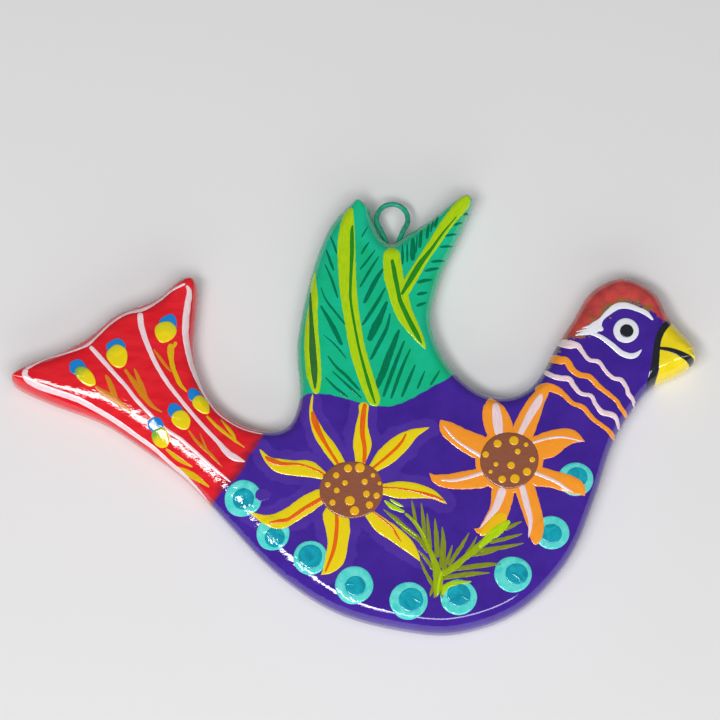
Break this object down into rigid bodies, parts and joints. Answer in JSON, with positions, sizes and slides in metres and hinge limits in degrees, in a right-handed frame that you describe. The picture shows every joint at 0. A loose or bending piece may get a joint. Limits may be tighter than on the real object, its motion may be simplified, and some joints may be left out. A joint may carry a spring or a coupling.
{
  "type": "ceramic bird ornament",
  "caption": "Flat ceramic dove with rolled edges, painted with flowers, dots and feathers on its face, and a wire hanging loop set in the notch of its wing.",
  "frame": {"origin": "on the flat back face, under the middle of the bird's bounding box", "axes": "+X from tail to beak, +Y from belly to wing tips, +Z out of the painted face"},
  "size_m": [0.115, 0.0752, 0.0072],
  "materials": {
    "painted_clay": "fired clay with hand-painted base coats under gloss varnish, bare on the back",
    "green_wire": "bent wire under green paint",
    "turquoise_paint": "raised gloss paint",
    "teal_paint": "raised gloss paint",
    "yellow_paint": "raised gloss paint",
    "orange_paint": "raised gloss paint",
    "brown_paint": "raised gloss paint",
    "ochre_paint": "raised gloss paint",
    "blue_paint": "raised gloss paint",
    "white_paint": "raised gloss paint",
    "black_paint": "raised gloss paint"
  },
  "bodies": {
    "root": {"clay_body": "painted_clay", "hanger_loop": "green_wire", "belly_dots": "turquoise_paint", "belly_dot_beads": "teal_paint", "sunflower_petals": "yellow_paint", "daisy_petals": "orange_paint", "flower_discs": "brown_paint", "flower_seeds": "ochre_paint", "tail_buds": "yellow_paint", "tail_bud_tips": "blue_paint", "eye_white": "white_paint", "eye_pupil": "black_paint"}
  },
  "joints": []
}
